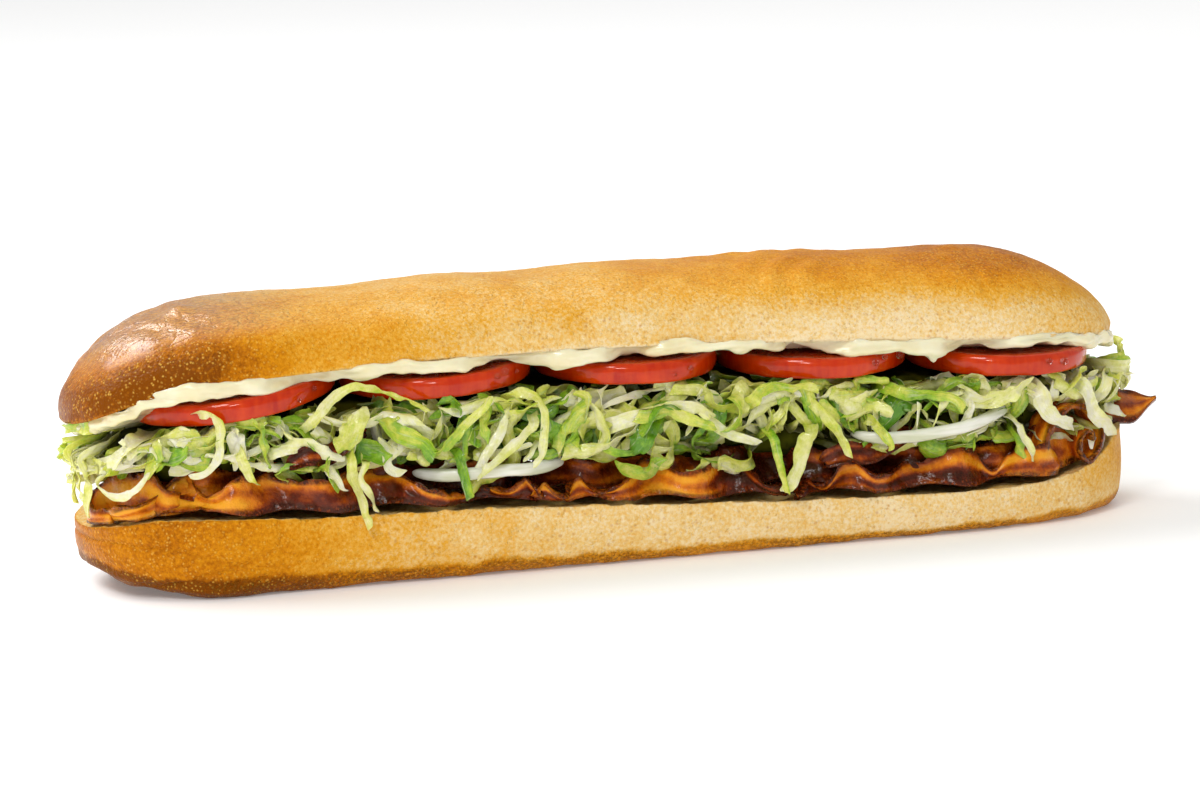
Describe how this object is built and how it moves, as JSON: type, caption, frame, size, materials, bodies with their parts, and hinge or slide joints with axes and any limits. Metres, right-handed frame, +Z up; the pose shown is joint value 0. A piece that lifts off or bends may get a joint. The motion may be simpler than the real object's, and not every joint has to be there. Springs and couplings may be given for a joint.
{
  "type": "submarine sandwich",
  "caption": "Long soft roll cut along its length, filled with wavy bacon strips, onion, shredded lettuce, tomato slices and mayonnaise.",
  "frame": {"origin": "centre of the whole sandwich's plan box, at the flat base that it stands on", "axes": "+X along the roll towards its slimmer right end in the picture, -Y towards the side shown in the picture, +Z up"},
  "size_m": [0.313, 0.0826, 0.0789],
  "materials": {
    "crust": "satin baked crust",
    "mayonnaise": "creamy satin",
    "tomato": "wet gloss",
    "lettuce": "crisp satin",
    "onion": "wet satin",
    "bacon": "greasy gloss"
  },
  "bodies": {
    "root": {"roll_lower": "crust", "roll_upper": "crust", "mayonnaise": "mayonnaise", "lettuce": "lettuce", "tomato_1": "tomato", "tomato_2": "tomato", "tomato_3": "tomato", "tomato_4": "tomato", "tomato_5": "tomato", "tomato_half_1": "tomato", "tomato_half_2": "tomato", "tomato_half_3": "tomato", "tomato_half_4": "tomato", "bacon_front_left": "bacon", "bacon_front_middle": "bacon", "bacon_front_right": "bacon", "bacon_back_right": "bacon", "bacon_back_middle": "bacon", "bacon_back_left": "bacon", "bacon_low_left_front": "bacon", "bacon_low_right_front": "bacon", "bacon_low_left_back": "bacon", "bacon_low_right_back": "bacon", "bacon_top_left": "bacon", "bacon_top_middle": "bacon", "bacon_top_right": "bacon", "onion_left": "onion", "onion_right": "onion", "onion_end": "onion", "onion_back": "onion"}
  },
  "joints": []
}
